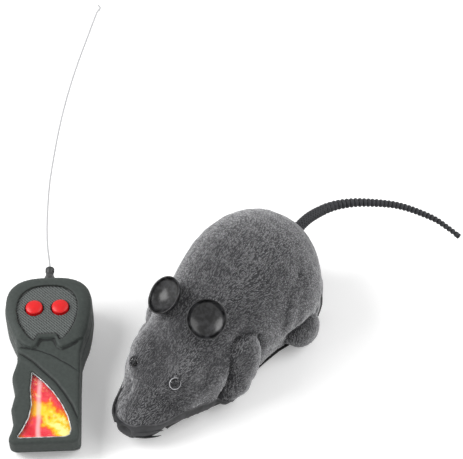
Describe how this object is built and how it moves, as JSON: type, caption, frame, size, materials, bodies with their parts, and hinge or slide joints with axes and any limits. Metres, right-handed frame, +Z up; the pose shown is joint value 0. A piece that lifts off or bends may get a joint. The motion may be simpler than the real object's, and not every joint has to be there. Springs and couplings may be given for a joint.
{
  "type": "robotic mouse cat toy",
  "caption": "Battery-driven flocked mouse with cup ears, bead eyes, ribbed rubber tail, geared rear wheels and a nose castor, with its keyhole-shaped two-button handset and wire aerial.",
  "frame": {"origin": "on the floor under the middle of the whole set's bounding box", "axes": "+Z up; the mouse looks along -Y and its own left side is +X; the handset lies on its back at the mouse's right, its aerial running up and away"},
  "size_m": [0.1856, 0.2202, 0.0742],
  "materials": {
    "grey_flock": "short combed fur flocked on a moulded shell",
    "chassis_plastic": "satin black moulding",
    "ear_plastic": "glossy charcoal, thin walled",
    "eye_plastic": "clear glossy bead over a dark iris",
    "tail_rubber": "soft ribbed rubber",
    "tyre_rubber": "soft smooth tread",
    "wheel_plastic": "plain grey moulding",
    "gear_nylon": "natural nylon",
    "gearbox_plastic": "plain light grey moulding",
    "steel": "bright steel",
    "motor_can": "plated steel can",
    "brass": "machined brass",
    "circuit_board": "green board",
    "board_parts": "black moulding",
    "cell_jacket": "plain coloured jacket with bare ends",
    "lead_insulation": "thin insulated lead",
    "handset_plastic": "dark greenish grey moulding",
    "button_plastic": "glossy red",
    "window_plastic": "clear moulding, thin",
    "insert_sheet": null
  },
  "bodies": {
    "mouse": {"body_shell": "grey_flock", "chassis": "chassis_plastic", "ear_left": "ear_plastic", "ear_right": "ear_plastic", "eye_left": "eye_plastic", "eye_right": "eye_plastic", "tail": "tail_rubber", "chassis_screw_1": "steel", "chassis_screw_2": "steel", "chassis_screw_3": "steel", "chassis_screw_4": "steel", "switch_body": "steel", "cell_1": "cell_jacket", "cell_2": "cell_jacket", "cell_3": "cell_jacket", "contact_front": "steel", "contact_rear": "steel", "receiver_board": "circuit_board", "receiver_chip": "board_parts", "receiver_coil": "brass", "motor": "motor_can", "gearbox_plate": "gearbox_plastic", "gearbox_cover": "gearbox_plastic", "motor_lead_red": "lead_insulation", "motor_lead_black": "board_parts", "receiver_aerial": "board_parts"},
    "rear_axle_set": {"rear_axle": "steel", "axle_gear": "gear_nylon", "rear_wheel_left": "wheel_plastic", "rear_wheel_right": "wheel_plastic", "tyre_left": "tyre_rubber", "tyre_right": "tyre_rubber"},
    "second_gear": {"second_gear": "gear_nylon"},
    "first_gear": {"first_gear": "gear_nylon"},
    "motor_rotor": {"motor_shaft": "steel", "motor_pinion": "brass"},
    "castor_fork": {"castor_bracket": "chassis_plastic", "castor_pin": "steel"},
    "castor_wheel": {"castor_wheel": "wheel_plastic"},
    "power_switch": {"switch_knob": "wheel_plastic"},
    "battery_cover": {"battery_cover": "chassis_plastic", "battery_cover_screw": "steel"},
    "handset": {"handset_front_case": "handset_plastic", "handset_back_case": "handset_plastic", "handset_screw_1": "steel", "handset_screw_2": "steel", "button_pad": "tyre_rubber", "handset_board": "circuit_board", "handset_coil": "brass", "handset_cell_1": "cell_jacket", "handset_cell_2": "cell_jacket", "handset_contact_front": "steel", "handset_contact_rear": "steel", "window_lens": "window_plastic", "insert_sheet": "insert_sheet", "aerial_socket": "board_parts", "aerial_wire": "steel"},
    "forward_button": {"forward_button": "button_plastic"},
    "reverse_button": {"reverse_button": "button_plastic"},
    "handset_battery_cover": {"handset_battery_cover": "handset_plastic"}
  },
  "joints": [
    {"name": "rear_axle_spin", "type": "hinge", "parent": "mouse", "child": "rear_axle_set", "pos_m": [0.04208, 0.02035, 0.012], "axis": [1, 0, 0], "continuous": true},
    {"name": "second_gear_spin", "type": "hinge", "parent": "mouse", "child": "second_gear", "pos_m": [0.04208, 0.02731, 0.01688], "axis": [1, 0, 0], "continuous": true},
    {"name": "first_gear_spin", "type": "hinge", "parent": "mouse", "child": "first_gear", "pos_m": [0.04208, 0.02896, 0.02623], "axis": [1, 0, 0], "continuous": true},
    {"name": "motor_spin", "type": "hinge", "parent": "mouse", "child": "motor_rotor", "pos_m": [0.04208, 0.02167, 0.03378], "axis": [1, 0, 0], "continuous": true},
    {"name": "castor_swivel", "type": "hinge", "parent": "mouse", "child": "castor_fork", "pos_m": [0.04208, -0.05165, 0.0126], "axis": [0, 0, 1], "continuous": true},
    {"name": "castor_wheel_spin", "type": "hinge", "parent": "castor_fork", "child": "castor_wheel", "pos_m": [0.04208, -0.04885, 0.005], "axis": [1, 0, 0], "continuous": true},
    {"name": "power_switch", "type": "slide", "parent": "mouse", "child": "power_switch", "axis": [0, 1, 0], "range_m": [0, 0.002]},
    {"name": "battery_cover_lift", "type": "slide", "parent": "mouse", "child": "battery_cover", "axis": [0, 0, -1], "range_m": [0, 0.03]},
    {"name": "handset_lift", "type": "slide", "parent": "mouse", "child": "handset", "axis": [0, 0, 1], "range_m": [0, 0.3]},
    {"name": "forward_button_press", "type": "slide", "parent": "handset", "child": "forward_button", "axis": [-0.065, 0.0797, -0.9947], "range_m": [0, 0.001], "stiffness_N_per_m": 900},
    {"name": "reverse_button_press", "type": "slide", "parent": "handset", "child": "reverse_button", "axis": [-0.065, 0.0797, -0.9947], "range_m": [0, 0.001], "stiffness_N_per_m": 900},
    {"name": "handset_cover_lift", "type": "slide", "parent": "handset", "child": "handset_battery_cover", "axis": [0, 0, -1], "range_m": [0, 0.02]}
  ],
  "couplings": [
    {"joint": "second_gear_spin", "follows": "rear_axle_spin", "ratio": -1.8333},
    {"joint": "first_gear_spin", "follows": "rear_axle_spin", "ratio": 3.9722},
    {"joint": "motor_spin", "follows": "rear_axle_spin", "ratio": -9.9306}
  ]
}
